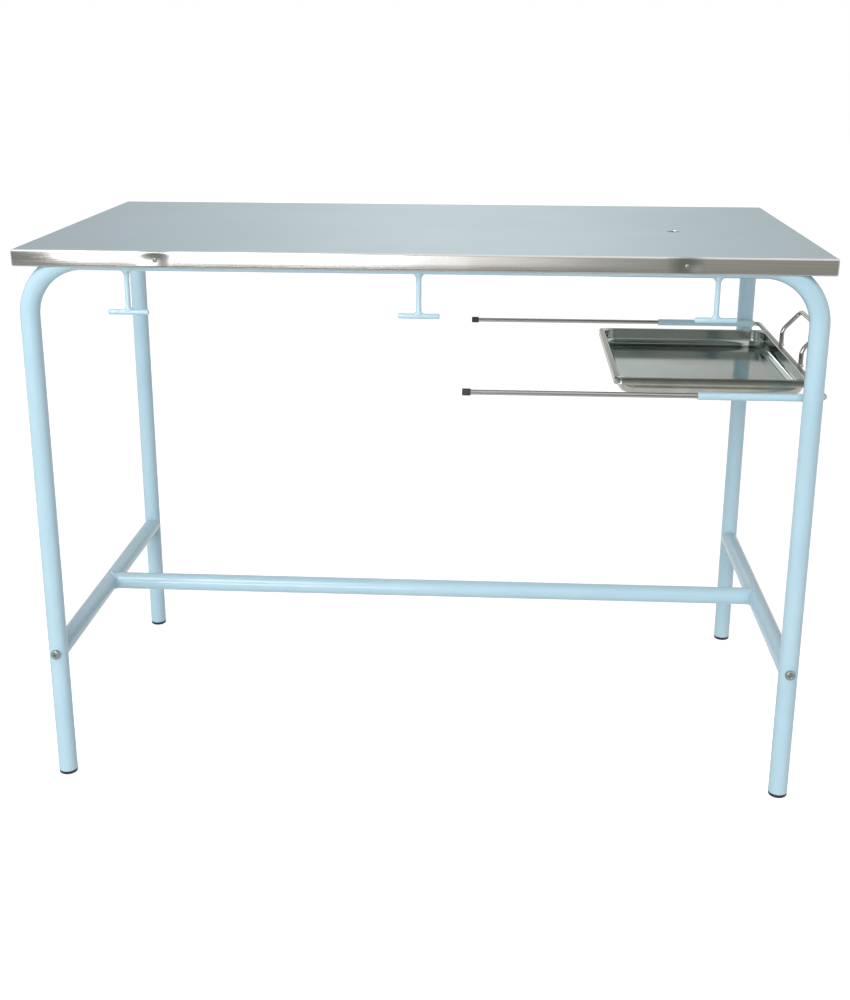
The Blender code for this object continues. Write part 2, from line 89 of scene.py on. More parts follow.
def addNode(tree, kind, settings=None, links=None, feeds=None, stops=()):
    # links are what leads into the node, where a node stands for its first output,
    # feeds are the sockets that it leads to, and stops the colours of a ramp
    node = tree.nodes.new(f"ShaderNode{kind}")
    for key, value in (settings or {}).items():
        if isinstance(key, int) or key in node.inputs:
            node.inputs[key].default_value = value
        else:
            setattr(node, key, value)
    for key, source in (links or {}).items():
        if isinstance(source, bpy.types.Node):
            source = source.outputs[0]
        tree.links.new(source, node.inputs[key])
    for key, target in (feeds or {}).items():
        tree.links.new(node.outputs[key], target)
    elements = node.color_ramp.elements if stops else []
    while len(elements) < len(stops):
        elements.new(0.5)
    for element, (position, colour) in zip(elements, stops):
        element.position = position
        element.color = colour
    return node


def startMaterial(name, settings):
    material = bpy.data.materials.new(name)
    material.use_nodes = True
    surface = material.node_tree.nodes["Principled BSDF"].inputs
    for key, value in settings.items():
        surface[key].default_value = value
    add = partial(addNode, material.node_tree)
    return material, add, surface, add("TexCoord").outputs["Object"]


# materials

def makeEnamel():
    # Oven-baked enamel sprayed on steel tube: even and glossy, with a faint orange peel.
    material, add, surface, place = startMaterial("bakedEnamelPaleBlue", {
        "Roughness": 0.20,
        "IOR": 1.50,
        "Coat Weight": 0.4,
        "Coat Roughness": 0.08,
    })
    cloud = add("TexNoise", {"Scale": 9.0, "Detail": 3.0}, {"Vector": place})
    tint = add("ValToRGB", links={"Fac": cloud}, stops=tones("#badceb", "#c1e1ef"))
    # painted shade: the enamel is painted a little darker in corners and round the welds
    paintedCornerShade = add("AmbientOcclusion", {"Distance": 0.012, "samples": 8})
    add("Mix", {"data_type": "RGBA", 6: toLinear("#a9cbd6")},
        {0: paintedCornerShade.outputs["AO"], 7: tint}, {2: surface["Base Color"]})
    # orange peel: waves about 2 mm across
    peel = add("TexNoise", {"Scale": 500.0, "Detail": 1.0}, {"Vector": place})
    add("Bump", {"Strength": 0.06, "Distance": 0.0002},
        {"Height": peel}, {"Normal": surface["Normal"]})
    return material


def makeSatinSheet():
    # Stainless sheet with a 2B mill finish, rolled cold: a soft even grey with no brush lines.
    material, add, surface, place = startMaterial("stainlessSheetMillFinish", {"Metallic": 1.0})
    cloud = add("TexNoise", {"Scale": 5.0, "Detail": 5.0, "Roughness": 0.6}, {"Vector": place})
    add("ValToRGB", links={"Fac": cloud},
        feeds={"Color": surface["Base Color"]}, stops=tones("#b2c7ce", "#b6cbd2"))
    # rolling grain, drawn 1.5 mm coarse so that it shows, and long along the sheet
    stretch = add("Mapping", {"Scale": (0.35, 1.0, 1.0)}, {"Vector": place})
    grain = add("TexNoise", {"Scale": 650.0, "Detail": 2.0}, {"Vector": stretch})
    add("MapRange", {"To Min": 0.30, "To Max": 0.40},
        {"Value": grain}, {"Result": surface["Roughness"]})
    # thin sheet never lies quite flat: waves about 200 mm long
    wave = add("TexNoise", {"Scale": 5.0, "Detail": 0.0}, {"Vector": place})
    broad = add("Bump", {"Strength": 0.10, "Distance": 0.004}, {"Height": wave})
    add("Bump", {"Strength": 0.03, "Distance": 0.0002},
        {"Height": grain, "Normal": broad}, {"Normal": surface["Normal"]})
    return material


def makeDullSheet():
    # The sheet's underside and its rolled lower edge, where no belt has been: dull and grey.
    material, add, surface, place = startMaterial("stainlessSheetUnpolished", {"Metallic": 1.0})
    cloud = add("TexNoise", {"Scale": 12.0, "Detail": 4.0}, {"Vector": place})
    add("ValToRGB", links={"Fac": cloud},
        feeds={"Color": surface["Base Color"]}, stops=tones("#bfc2c0", "#cccecc"))
    add("MapRange", {"To Min": 0.38, "To Max": 0.52},
        {"Value": cloud}, {"Result": surface["Roughness"]})
    return material


def makePolishedEdge():
    # The folded edge of the sheet, polished lengthwise with a belt: bright, with fine long lines.
    material, add, surface, place = startMaterial("stainlessEdgeBeltPolished", {"Metallic": 1.0})
    # belt lines about 0.8 mm apart and 70 mm long
    stretch = add("Mapping", {"Scale": (0.012, 0.012, 1.0)}, {"Vector": place})
    lines = add("TexNoise", {"Scale": 1200.0, "Detail": 2.0}, {"Vector": stretch})
    tint = add("ValToRGB", links={"Fac": lines}, stops=tones("#dad8d4", "#e6e4e1"))
    spread = add("MapRange", {"To Min": 0.05, "To Max": 0.11}, {"Value": lines})
    add("Bump", {"Strength": 0.02, "Distance": 0.0002},
        {"Height": lines}, {"Normal": surface["Normal"]})
    # the belt doesn't reach into the dents round the four screws, so the metal is rougher there, and
    # it is painted darker there as a painted dark reflection of the dents
    mirrored = add("VectorMath", {"operation": "ABSOLUTE"}, {0: place})
    screw = (screwX, sheet["width"] / 2, sheet["screwDrop"])
    away = add("VectorMath", {"operation": "SUBTRACT", 1: screw}, {0: mirrored})
    shares = (1 / sheet["dullPaintedDarkLength"], 1 / sheet["dullPaintedDarkLength"], 1 / sheet["dullPaintedDarkHeight"])
    scaled = add("VectorMath", {"operation": "MULTIPLY", 1: shares}, {0: away})
    reach = add("VectorMath", {"operation": "LENGTH"}, {0: scaled})
    dullAndPaintedDark = add("MapRange", {"From Min": 1.0, "From Max": 0.35}, {"Value": reach.outputs["Value"]})
    # painted reflection: the colour round the screws is painted darker
    add("Mix", {"data_type": "RGBA", 7: toLinear("#acaca9")},
        {0: dullAndPaintedDark, 6: tint}, {2: surface["Base Color"]})
    add("Mix", {3: 0.19}, {0: dullAndPaintedDark, 2: spread}, {0: surface["Roughness"]})
    return material


def makeMirrorTray():
    # Deep-drawn stainless, buffed: nearly a mirror, with a haze of fine scratches from use.
    material, add, surface, place = startMaterial("stainlessTrayBuffed", {"Metallic": 1.0})
    cloud = add("TexNoise", {"Scale": 14.0, "Detail": 4.0}, {"Vector": place})
    worn = add("ValToRGB", links={"Fac": cloud}, stops=tones("#929d97", "#9da8a2"))
    # painted reflection: the walls are painted brighter than the floor
    axes = add("SeparateXYZ", links={"Vector": place})
    low = tray["floorToneTo"] - tray["depth"]
    high = tray["paintedBrightFrom"] - tray["depth"]
    upward = add("MapRange", {"From Min": low, "From Max": high}, {"Value": axes.outputs["Z"]})
    add("Mix", {"data_type": "RGBA", 7: toLinear("#b0b7b3")},
        {0: upward, 6: worn}, {2: surface["Base Color"]})
    scuff = add("TexNoise", {"Scale": 90.0, "Detail": 6.0, "Roughness": 0.7}, {"Vector": place})
    add("MapRange", {"To Min": 0.07, "To Max": 0.13},
        {"Value": scuff}, {"Result": surface["Roughness"]})
    # the drawn floor is slightly wavy, about 60 mm from crest to crest
    wave = add("TexNoise", {"Scale": 17.0, "Detail": 0.0}, {"Vector": place})
    add("Bump", {"Strength": 0.08, "Distance": 0.002},
        {"Height": wave}, {"Normal": surface["Normal"]})
    return material


def makeRolledRim():
    # The tray's outside, flange and rolled edge, which the buff only touches: a hazy shine.
    material, add, surface, place = startMaterial("stainlessTrayRimRolled", {"Metallic": 1.0})
    cloud = add("TexNoise", {"Scale": 40.0, "Detail": 4.0}, {"Vector": place})
    hazy = add("ValToRGB", links={"Fac": cloud}, stops=tones("#b6b7ae", "#c2c3ba"))
    # painted reflection: the flat of the flange is painted darkest, as a painted dark reflection of
    # the sheet's underside
    axes = add("SeparateXYZ", links={"Vector": place})
    low = -tray["hazyBelow"]
    high = -tray["paintedDarkTo"]
    upward = add("MapRange", {"From Min": low, "From Max": high}, {"Value": axes.outputs["Z"]})
    add("Mix", {"data_type": "RGBA", 7: toLinear("#73766f")},
        {0: upward, 6: hazy}, {2: surface["Base Color"]})
    add("MapRange", {"To Min": 0.15, "To Max": 0.26},
        {"Value": cloud}, {"Result": surface["Roughness"]})
    return material


def makeChrome():
    # Chromium plated over nickel on drawn steel wire: a clean mirror, a little hazy from handling.
    material, add, surface, place = startMaterial("chromePlatedWire", {
        "Metallic": 1.0,
        "Base Color": toLinear("#bab8b5"),
    })
    haze = add("TexNoise", {"Scale": 60.0, "Detail": 4.0}, {"Vector": place})
    add("MapRange", {"To Min": 0.10, "To Max": 0.16},
        {"Value": haze}, {"Result": surface["Roughness"]})
    return material


def makeZincPlate():
    # Clear passivated zinc on steel screws: greenish grey, half matt.
    material, add, surface, place = startMaterial("zincPlatedSteel", {"Metallic": 1.0})
    # zinc spangle, about 3 mm
    spangle = add("TexVoronoi", {"Scale": 330.0}, {"Vector": place})
    add("ValToRGB", links={"Fac": spangle},
        feeds={"Color": surface["Base Color"]}, stops=tones("#8d9a95", "#a3aea9", 0.2, 0.8))
    add("MapRange", {"To Min": 0.26, "To Max": 0.40},
        {"Value": spangle}, {"Result": surface["Roughness"]})
    return material


def makeMoulded(name, colour, roughness, grainSize):
    # Moulded in a spark-eroded tool, which leaves a fine grain: dull, and greyer where it rubs.
    material, add, surface, place = startMaterial(name, {
        "Roughness": roughness,
        "IOR": 1.49,
    })
    cloud = add("TexNoise", {"Scale": 120.0, "Detail": 4.0}, {"Vector": place})
    base = toLinear(colour)
    worn = tuple(min(1.0, channel * 1.5 + 0.004) for channel in base[:3]) + (1.0,)
    add("ValToRGB", links={"Fac": cloud},
        feeds={"Color": surface["Base Color"]}, stops=((0.45, base), (0.8, worn)))
    grain = add("TexNoise", {"Scale": 1.0 / grainSize, "Detail": 2.0}, {"Vector": place})
    add("Bump", {"Strength": 0.25, "Distance": 0.0001},
        {"Height": grain}, {"Normal": surface["Normal"]})
    return material


enamel = makeEnamel()
satinSheet = makeSatinSheet()
dullSheet = makeDullSheet()
chrome = makeChrome()
zincPlate = makeZincPlate()
plugPlastic = makeMoulded("polyethyleneMouldedBlack", "#1c1a20", 0.45, 0.0006)
capRubber = makeMoulded("nitrileRubberMouldedGrey", "#3b3a3b", 0.62, 0.0005)
print("materials made")


# shapes

def quarterAngles(steps):
    return [step / steps * quarterTurn for step in range(steps + 1)]


def circleAngles(sides):
    return [2 * math.pi * index / sides for index in range(sides)]


def openMesh(name, vertices, faces):
    mesh = bpy.data.meshes.new(name)
    mesh.from_pydata(vertices, [], faces)
    bm = bmesh.new()
    bm.from_mesh(mesh)
    return mesh, bm


def smoothen(mesh, sharpAngle):
    mesh.shade_smooth()
    mesh.set_sharp_from_angle(angle=math.radians(sharpAngle))


def meshOf(name, vertices, faces, sharpAngle=35):
    mesh, bm = openMesh(name, vertices, faces)
    bmesh.ops.remove_doubles(bm, verts=bm.verts, dist=0.000001)
    bmesh.ops.recalc_face_normals(bm, faces=bm.faces)
    bm.to_mesh(mesh)
    bm.free()
    smoothen(mesh, sharpAngle)
    return mesh


def meshFrom(bm, name):
    mesh = bpy.data.meshes.new(name)
    bm.to_mesh(mesh)
    bm.free()
    return mesh


def flatGrid(sizeX, sizeY):
    bm = bmesh.new()
    bmesh.ops.create_grid(bm, x_segments=1, y_segments=1, size=0.5)
    bmesh.ops.scale(bm, vec=(sizeX, sizeY, 1), verts=bm.verts)
    return bm


def faceUp(bm):
    bmesh.ops.recalc_face_normals(bm, faces=bm.faces)
    if sum(face.normal.z * face.calc_area() for face in bm.faces) < 0:
        bmesh.ops.reverse_faces(bm, faces=bm.faces)


def skin(rings, joinEnds=False, caps=True):
    # faces between rings that have as many points each
    count = len(rings[0])
    vertices = [point for ring in rings for point in ring]
    faces = []
    spans = len(rings) if joinEnds else len(rings) - 1
    for span in range(spans):
        here = span * count
        there = (span + 1) % len(rings) * count
        for index in range(count):
            after = (index + 1) % count
            faces.append((here + index, here + after, there + after, there + index))
    if caps and not joinEnds:
        faces.append(tuple(range(count)))
        faces.append(tuple(range((len(rings) - 1) * count, len(rings) * count)))
    return vertices, faces


def flatRing(radii, height):
    angles = circleAngles(len(radii))
    return [(r * math.cos(a), r * math.sin(a), height) for r, a in zip(radii, angles)]


def turned(profile, sides, joinEnds=False):
    # a profile of (radius, height) points turned about Z
    return skin([flatRing([radius] * sides, height) for radius, height in profile], joinEnds)


def tubeAlong(points, radius, sides):
    # the ring turns with the path and doesn't twist; radius may be a number or one for each point
    points = [Vector(point) for point in points]
    radii = radius if isinstance(radius, (list, tuple)) else [radius] * len(points)
    rings = []
    across = None
    for index, point in enumerate(points):
        before = points[max(index - 1, 0)]
        after = points[min(index + 1, len(points) - 1)]
        forward = (after - before).normalized()
        if across is None:
            helper = Vector((0, 0, 1)) if abs(forward.z) < 0.9 else Vector((0, 1, 0))
            across = forward.cross(helper).normalized()
        else:
            across = (across - forward * across.dot(forward)).normalized()
        up = forward.cross(across)
        rings.append([point + (across * math.cos(a) + up * math.sin(a)) * radii[index]
                      for a in circleAngles(sides)])
    return skin(rings)


def roundedPath(corners, radii, steps):
    # straight runs between corners, each inner corner rounded to its own radius
    points = [Vector(corners[0])]
    for before, corner, after, radius in zip(corners, corners[1:], corners[2:], radii):
        corner = Vector(corner)
        back = (Vector(before) - corner).normalized()
        onward = (Vector(after) - corner).normalized()
        half = back.angle(onward) / 2
        centre = corner + (back + onward).normalized() * radius / math.sin(half)
        reach = radius / math.tan(half)
        first = corner + back * reach - centre
        last = corner + onward * reach - centre
        sweep = first.angle(last)
        for step in range(steps + 1):
            turn = step / steps * sweep
            arm = first * math.sin(sweep - turn) + last * math.sin(turn)
            points.append(centre + arm / math.sin(sweep))
    points.append(Vector(corners[-1]))
    return points


def bentTwice(corners, bendRadius, steps, radius, edge, inward):
    # path and radii of a tube or rod with two bends and two deburred ends
    path = roundedPath(corners, (bendRadius, bendRadius), steps)
    step = Vector(inward) * edge
    path = [path[0], path[0] + step, *path[1:-1], path[-1] + step, path[-1]]
    radii = [radius] * len(path)
    radii[0] = radius - edge
    radii[-1] = radius - edge
    return path, radii


def addObject(name, data):
    obj = bpy.data.objects.new(name, data)
    bpy.context.scene.collection.objects.link(obj)
    return obj


def addPiece(name, mesh, material, body, replaced, place=(0, 0, 0), turn=(0, 0, 0)):
    if isinstance(mesh, tuple):
        mesh = meshOf(name, *mesh)
    piece = addObject(name, mesh)
    if not mesh.materials:
        mesh.materials.append(material)
    piece.location = place
    piece.rotation_euler = turn
    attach(piece, body)
    if replaced:
        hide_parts(replaced)
    return piece


def addAtCorners(node, mesh, material, place, turns=None):
    # the same piece at the four corners of the table, placed from its middle
    x, y, z = place
    word = node.title().replace("_", "")
    for side, sign in sideSigns.items():
        for end, endSign in endSigns.items():
            addPiece(f"{side}{end.title()}{word}", mesh, material, "table",
                     f"{side}_{end}_{node}", (middleX + endSign * x, sign * y, z),
                     turns[side] if turns else (0, 0, 0))


def thicken(piece, thickness, materialOffset):
    shell = piece.modifiers.new("thickness", "SOLIDIFY")
    shell.thickness = thickness
    shell.offset = -1
    shell.use_even_offset = True
    shell.material_offset = materialOffset


def flattenFacets(piece, weight):
    weigh = piece.modifiers.new("flatFacets", "WEIGHTED_NORMAL")
    weigh.keep_sharp = True
    weigh.weight = weight


def cutAway(piece, tool, toolCrossesItself=False):
    # the mesh of the piece with the tool's form taken out
    cut = piece.modifiers.new("cut", "BOOLEAN")
    cut.operation = "DIFFERENCE"
    cut.solver = "EXACT"
    cut.use_self = toolCrossesItself
    cut.object = tool
    bpy.context.view_layer.update()
    graph = bpy.context.evaluated_depsgraph_get()
    mesh = bpy.data.meshes.new_from_object(piece.evaluated_get(graph), depsgraph=graph)
    bpy.data.objects.remove(tool)
    return mesh


def paintNode(nodeName, material):
    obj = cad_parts[nodeName]
    obj.data.materials.clear()
    obj.data.materials.append(material)


# top sheet

sheet = {
    "length": 1.205,
    "width": 0.650,
    "thickness": 0.0015,
    "rimHeight": 0.025,
    "bendRadius": 0.003,
    "dishDepth": 0.005,
    "drainInset": 0.200,
    "drainRadius": 0.011,
    "drainTaper": 0.0010,    # the hole is narrower below
    "drainFlare": 0.0012,    # and wider at the top, where its edge is broken
    "drainCutHeight": 0.006,
    "screwInset": 0.2155,
    "screwDrop": 0.0135,
    "dentDepth": 0.0016,     # the screws pull the thin rim in
    "dentLength": 0.017,
    "dentHeight": 0.012,
    "dentReach": 0.045,      # the rim is cut finely this far on either side of a screw
    "dentFootShare": 0.25,   # below the screw the free edge is pulled in nearly as far
    "dentedSkin": 0.0011,    # what lies this near the rim's face is dented with it
    "dullPaintedDarkLength": 0.030,     # how far round a screw the metal is rougher and painted darker, as a painted dark reflection
    "dullPaintedDarkHeight": 0.032,
    "hemTurn": 0.0010,       # the lower edge is rolled in a little
    "hemHeight": 0.0028,
    "hemDullShare": 0.6,     # the belt misses this much of the rolled edge
    "rimBulge": 0.0003,      # the fold has sprung, so the rim leans in towards its foot
}
drainX = sheet["length"] / 2 - sheet["drainInset"]
screwX = sheet["length"] / 2 - sheet["screwInset"]
flatRimHeight = sheet["rimHeight"] - sheet["bendRadius"]


def foldSheet():
    bm = flatGrid(sheet["length"], sheet["width"])
    low = bmesh.ops.poke(bm, faces=bm.faces)["verts"][0]
    low.co = (drainX, 0, -sheet["dishDepth"])
    outer = [edge for edge in bm.edges if edge.is_boundary]
    creases = [edge for edge in bm.edges if not edge.is_boundary]
    folded = bmesh.ops.extrude_edge_only(bm, edges=outer)["geom"]
    hem = [item for item in folded if isinstance(item, bmesh.types.BMVert)]
    bmesh.ops.translate(bm, verts=hem, vec=(0, 0, -sheet["rimHeight"]))
    faceUp(bm)
    for crease in creases:
        crease.smooth = False
    bends = [edge for edge in bm.edges if not edge.is_boundary and edge.smooth]
    bmesh.ops.bevel(bm, geom=bends, offset=sheet["bendRadius"], segments=6, profile=0.5,
                    affect="EDGES", clamp_overlap=True)
    # the four wide faces are the worktop, and the rest is the edge
    for face in bm.faces:
        face.smooth = True
        face.material_index = 0 if face.normal.z > 0.99 and face.calc_area() > 0.01 else 1
    return bm


def cutRim(bm, sign, place, axis):
    # one straight cut through the flat of a long rim
    rim = [face for face in bm.faces if face.normal.y * sign > 0.9]
    geom = rim + list({e for f in rim for e in f.edges} | {v for f in rim for v in f.verts})
    bmesh.ops.bisect_plane(bm, geom=geom, plane_co=place, plane_no=axis)


def dentRims(bm):
    # the cuts let the two long rims bend in round the screws
    for sign in (-1, 1):
        for end in (-1, 1):
            for step in range(-12, 13):
                x = end * screwX + step / 12 * sheet["dentReach"]
                cutRim(bm, sign, (x, 0, 0), (1, 0, 0))
        for step in range(1, 8):
            z = -sheet["bendRadius"] - step / 8 * flatRimHeight
            cutRim(bm, sign, (0, 0, z), (0, 0, 1))
    for vert in bm.verts:
        x, y, z = vert.co
        if abs(abs(y) - sheet["width"] / 2) > sheet["dentedSkin"]:
            continue
        alongShare = min(abs(x - screwX), abs(x + screwX)) / sheet["dentLength"]
        downShare = (z + sheet["screwDrop"]) / sheet["dentHeight"]
        if downShare < 0:
            downShare *= sheet["dentFootShare"]
        dent = sheet["dentDepth"] * math.exp(-alongShare ** 2 - downShare ** 2)
        vert.co.y -= dent if y > 0 else -dent


def rollHem(bm):
    # the lower edge all round
    for step in range(4):
        z = sheet["hemHeight"] * (1 - step / 4) - sheet["rimHeight"]
        geom = list(bm.faces) + list(bm.edges) + list(bm.verts)
        bmesh.ops.bisect_plane(bm, geom=geom, plane_co=(0, 0, z), plane_no=(0, 0, 1))
    for vert in bm.verts:
        depth = -vert.co.z - sheet["bendRadius"]
        if depth > 0:
            hemShare = max(0, 1 - (vert.co.z + sheet["rimHeight"]) / sheet["hemHeight"])
            rimShare = depth / flatRimHeight
            inset = sheet["hemTurn"] * hemShare ** 2 + sheet["rimBulge"] * rimShare ** 2
            vert.co.x *= 1 - inset / (sheet["length"] / 2)
            vert.co.y *= 1 - inset / (sheet["width"] / 2)
    dullBelow = sheet["hemHeight"] * sheet["hemDullShare"] - sheet["rimHeight"]
    for face in bm.faces:
        if face.calc_center_median().z < dullBelow:
            face.material_index = 2


def makeTopSheet():
    bm = foldSheet()
    dentRims(bm)
    rollHem(bm)
    mesh = meshFrom(bm, "topSheet")
    for material in (satinSheet, makePolishedEdge(), dullSheet):
        mesh.materials.append(material)
    piece = addPiece("topSheet", mesh, satinSheet, "table", "top_sheet",
                     (middleX, 0, topZ))
    thicken(piece, sheet["thickness"], 2)
    bm = bmesh.new()
    bmesh.ops.create_cone(bm, cap_ends=True, segments=64, depth=sheet["drainCutHeight"],
                          radius1=sheet["drainRadius"] - sheet["drainTaper"],
                          radius2=sheet["drainRadius"] + sheet["drainFlare"])
    cutter = addObject("drainCutter", meshFrom(bm, "drainCutter"))
    cutter.location = (middleX + drainX, 0, topZ - sheet["dishDepth"] - sheet["thickness"] / 2)
    holed = cutAway(piece, cutter)
    piece.modifiers.clear()
    piece.data = holed
    flattenFacets(piece, 100)


makeTopSheet()

# rim screws, with a cross recess in a domed head

rimScrew = {
    "headRadius": 0.0035,
    "headHeight": 0.0020,
    "crownFlat": 0.00002,
    "skirt": 0.0008,
    "recessReach": 0.0019,
    "recessWidth": 0.0007,
    "recessDepth": 0.001,
}


def makeRimScrews():
    radius = rimScrew["headRadius"]
    height = rimScrew["headHeight"]
    profile = [(radius * math.sin(a) + rimScrew["crownFlat"], height * math.cos(a))
               for a in quarterAngles(7)]
    profile.append((radius, -rimScrew["skirt"]))
    blank = addObject("rimScrewBlank", meshOf("rimScrew", *turned(profile, 40)))
    length = rimScrew["recessReach"] * 2
    width = rimScrew["recessWidth"]
    deep = rimScrew["recessDepth"] * 2
    bm = bmesh.new()
    for size in ((length, width, deep), (width, length, deep)):
        made = bmesh.ops.create_cube(bm, size=1.0)["verts"]
        bmesh.ops.scale(bm, vec=size, verts=made)
        bmesh.ops.translate(bm, vec=(0, 0, height), verts=made)
    tool = addObject("rimScrewTool", meshFrom(bm, "crossRecess"))
    mesh = cutAway(blank, tool, toolCrossesItself=True)
    bpy.data.objects.remove(blank)
    smoothen(mesh, 35)
    seatY = sheet["width"] / 2 - sheet["dentDepth"]
    addAtCorners("rim_screw", mesh, zincPlate,
                 (screwX, seatY, topZ - sheet["screwDrop"]), facing)


makeRimScrews()
print("top sheet and its screws made")

# painted tube frame

weldBead = {
    "radius": 0.0022,
    "standOff": 0.0006,
    "rippleShare": 0.16,     # ripples of a hand weld, softened by the paint
    "ripplePitch": 0.0035,
}


def addBead(name, points, radius):
    # a weld bead along these points, with its ripples
    points = [Vector(point) for point in points]
    travelled = 0.0
    radii = []
    for index, point in enumerate(points):
        if index:
            travelled += (point - points[index - 1]).length
        wave = math.sin(2 * math.pi * travelled / weldBead["ripplePitch"])
        radii.append(radius * (1 + weldBead["rippleShare"] * wave))
    addPiece(name, tubeAlong(points, radii, 12), enamel, "table", None)


def makePortals():
    for side, sign in sideSigns.items():
        y = sign * legY
        corners = ((-legX, y, footZ), (-legX, y, railZ), (legX, y, railZ), (legX, y, footZ))
        path, radii = bentTwice(corners, tableFrame["bendRadius"], 24, tubeRadius,
                                tableFrame["sawnEdge"], (0, 0, 1))
        path = [point + Vector((middleX, 0, 0)) for point in path]
        addPiece(f"{side}Portal", tubeAlong(path, radii, 56), enamel, "table",
                 f"{side}_portal")


def saddle(sign):
    # where the middle stretcher runs into a side stretcher of the same diameter
    points = []
    for angle in (*circleAngles(96), 2 * math.pi):
        reach = abs(math.sin(angle)) * tubeRadius
        x = sign * (legX - reach) - sign * weldBead["standOff"]
        points.append((middleX + x, tubeRadius * math.sin(angle),
                       tableFrame["stretcherZ"] + tubeRadius * math.cos(angle)))
    return points


def addStretcher(name, ends, node):
    addPiece(name, tubeAlong(ends, tubeRadius, 56), enamel, "table", node)


def makeStretchers():
    z = tableFrame["stretcherZ"]
    reach = legY - tableFrame["endShort"]
    for end, sign in endSigns.items():
        x = middleX + sign * legX
        addStretcher(f"{end}SideStretcher", [(x, -reach, z), (x, reach, z)],
                     f"{end}_side_stretcher")
        addBead(f"{end}StretcherWeld", saddle(sign), weldBead["radius"])
    reach = legX - tableFrame["endShort"]
    addStretcher("middleStretcher", [(middleX - reach, 0, z), (middleX + reach, 0, z)],
                 "middle_stretcher")


makePortals()
makeStretchers()

# stretcher bolts, button heads with a hexagon socket

stretcherBolt = {
    "headRadius": 0.0081,
    "headHeight": 0.0044,
    "crownRadius": 0.0046,
    "edgeHeight": 0.0006,
    "seatDepth": 0.0005,
    "socketAcross": 0.0050,
    # how much wider the socket is, and how deep under the crown, from its chamfer to its floor
    "socketRows": ((0.0008, 0), (0, 0.0004), (0, 0.0028)),
}


def makeStretcherBolts():
    sides = 48
    radius = stretcherBolt["headRadius"]
    height = stretcherBolt["headHeight"]
    crown = stretcherBolt["crownRadius"]
    edge = stretcherBolt["edgeHeight"]
    rings = [flatRing([radius] * sides, -stretcherBolt["seatDepth"])]
    for angle in quarterAngles(8):
        r = crown + (radius - crown) * math.cos(angle)
        rings.append(flatRing([r] * sides, edge + (height - edge) * math.sin(angle)))
    sixth = math.pi / 3
    for wider, depth in stretcherBolt["socketRows"]:
        flat = (stretcherBolt["socketAcross"] + wider) / 2
        radii = [flat / math.cos((a + sixth / 2) % sixth - sixth / 2) for a in circleAngles(sides)]
        rings.append(flatRing(radii, height - depth))
    mesh = meshOf("stretcherBolt", *skin(rings), sharpAngle=25)
    seatY = legY + tubeRadius + tableFrame["touchGap"]
    addAtCorners("stretcher_bolt", mesh, zincPlate,
                 (legX, seatY, tableFrame["stretcherZ"]), facing)


makeStretcherBolts()

# tie hooks, a stem and a bar of the same rod, welded and painted with the frame

tieHook = {
    "place": 0.435,
    "drop": 0.062,
    "rodRadius": 0.004,
    "stemInRail": 0.004,     # the stem goes on this far into the rail
    "flareRadius": 0.0078,
    "flareHeight": 0.0080,
    "flareCurve": 1.2,
    "footSpread": 0.0085,
    "footHeight": 0.0075,
    "footCurve": 1.1,
    "footSwell": 0.0003,
    "footLift": 0.6,         # the foot ends above the bar's axis by this share of the rod's radius
    "footTaper": 0.9,
    "barLength": 0.062,
    "barEdge": 0.0022,
}


def makeHooks():
    r = tieHook["rodRadius"]
    drop = tieHook["drop"]
    head = tieHook["flareRadius"]
    foot = tieHook["footSpread"]
    shares = [step / 8 for step in range(9)]
    # height, width and depth of the stem, from the rail down to the bar
    sections = [(tieHook["stemInRail"], head, head)]
    for share in shares:
        wide = r + (head - r) * (1 - math.sin(share * quarterTurn)) ** tieHook["flareCurve"]
        sections.append((-tieHook["flareHeight"] * share, wide, wide))
    for share in shares:
        wide = r + (foot - r) * (1 - math.cos(share * quarterTurn)) ** tieHook["footCurve"]
        height = r * tieHook["footLift"] - drop + tieHook["footHeight"] * (1 - share)
        sections.append((height, wide, r + tieHook["footSwell"] * share))
    sections.append((-drop, foot * tieHook["footTaper"], r * tieHook["footTaper"]))
    rings = [[(wide * math.cos(a), deep * math.sin(a), height) for a in circleAngles(32)]
             for height, wide, deep in sections]
    vertices, faces = skin(rings)
    # the bar, its two ends rounded
    edge = tieHook["barEdge"]
    half = tieHook["barLength"] / 2
    ends = [(half - edge + edge * math.sin(a), r - edge + edge * math.cos(a))
            for a in quarterAngles(4)]
    stations = [(-reach, radius) for reach, radius in reversed(ends)] + ends
    barVertices, barFaces = tubeAlong([(reach, 0, -drop) for reach, radius in stations],
                                      [radius for reach, radius in stations], 32)
    faces += [tuple(index + len(vertices) for index in face) for face in barFaces]
    mesh = meshOf("tieHook", vertices + barVertices, faces)
    places = {"Left": -tieHook["place"], "Centre": 0, "Right": tieHook["place"]}
    for side, sign in sideSigns.items():
        for word, x in places.items():
            addPiece(f"{side}{word}Hook", mesh, enamel, "table", f"{side}_{word.lower()}_hook",
                     (middleX + x, sign * legY, railZ - tubeRadius))


makeHooks()

# foot plugs

footPlug = {
    "height": 0.0055,
    "edge": 0.0030,
    "stem": 0.012,
    "stemInset": 0.0022,     # from the tube's surface, as the next one
    "rimInset": 0.0001,
    "rimBevel": 0.0004,
}


def makeFootPlugs():
    height = footPlug["height"]
    edge = footPlug["edge"]
    stem = tubeRadius - footPlug["stemInset"]
    rim = tubeRadius - footPlug["rimInset"]
    bevel = footPlug["rimBevel"]
    profile = [(stem, height + footPlug["stem"]), (stem, height), (rim - bevel, height),
               (rim, height - bevel)]
    profile += [(rim - edge * (1 - math.cos(a)), edge * (1 - math.sin(a)))
                for a in quarterAngles(8)]
    mesh = meshOf("footPlug", *turned(profile, 56))
    addAtCorners("foot_plug", mesh, plugPlastic, (legX, legY, 0))


makeFootPlugs()

# tray sleeves, welded on the inner faces of the right legs

traySleeve = {
    "outerRadius": 0.006,
    "boreRadius": 0.0045,
    "edge": 0.0004,
    "weldLength": 0.016,
    "weldRadius": 0.0017,
    "weldRise": 0.0046,      # above and below the sleeve's axis
    "weldSink": 0.0012,
}


